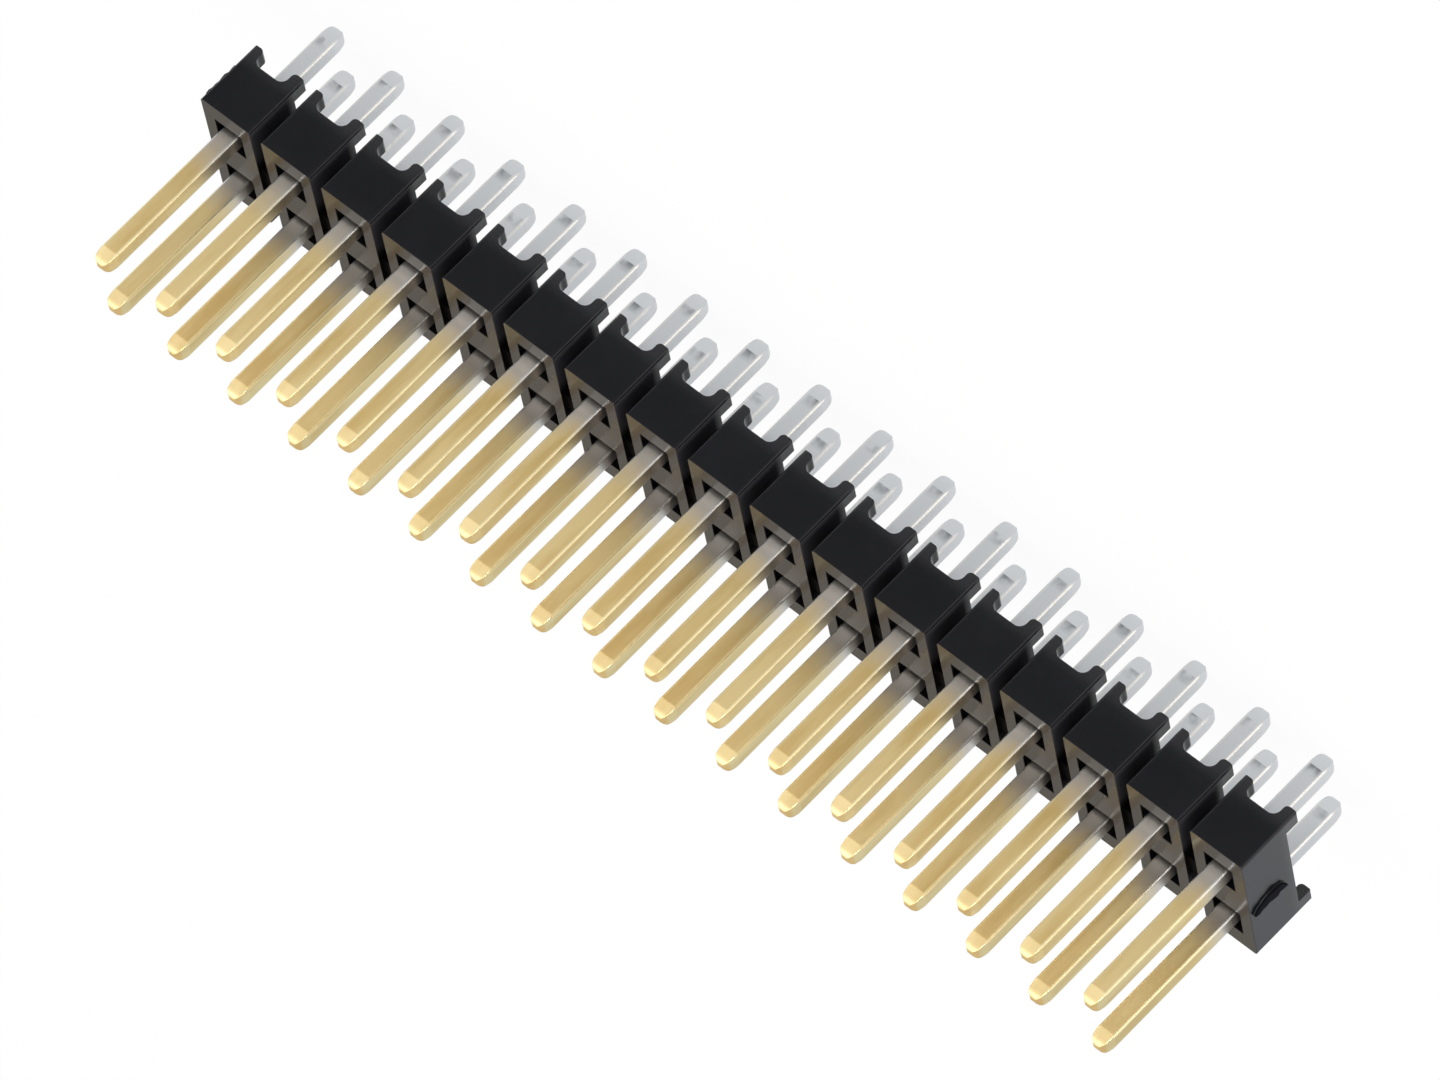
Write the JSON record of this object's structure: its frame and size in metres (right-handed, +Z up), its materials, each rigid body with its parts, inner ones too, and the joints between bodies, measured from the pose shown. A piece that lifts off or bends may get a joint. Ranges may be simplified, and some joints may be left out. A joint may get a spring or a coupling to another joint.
{
  "type": "pin header strip",
  "caption": "Breakaway pin header strip: square gold-plated pins pressed through a black moulded insulator, whose blocks stand on small feet and are joined by thin snap webs.",
  "frame": {"origin": "centre of the grid of solder tails, in the plane of the feet, which is the surface of the board", "axes": "+X along the strip, +Y across it, +Z up from the board along the mating pins"},
  "size_m": [0.043, 0.0052, 0.0108],
  "materials": {
    "insulator": "black moulded thermoplastic with a faint sheen",
    "pins": "gold-plated mating ends and tin-plated tails"
  },
  "bodies": {
    "root": {"insulator": "insulator", "pin_1": "pins", "pin_2": "pins", "pin_3": "pins", "pin_4": "pins", "pin_5": "pins", "pin_6": "pins", "pin_7": "pins", "pin_8": "pins", "pin_9": "pins", "pin_10": "pins", "pin_11": "pins", "pin_12": "pins", "pin_13": "pins", "pin_14": "pins", "pin_15": "pins", "pin_16": "pins", "pin_17": "pins", "pin_18": "pins", "pin_19": "pins", "pin_20": "pins", "pin_21": "pins", "pin_22": "pins", "pin_23": "pins", "pin_24": "pins", "pin_25": "pins", "pin_26": "pins", "pin_27": "pins", "pin_28": "pins", "pin_29": "pins", "pin_30": "pins", "pin_31": "pins", "pin_32": "pins", "pin_33": "pins", "pin_34": "pins"}
  },
  "joints": []
}
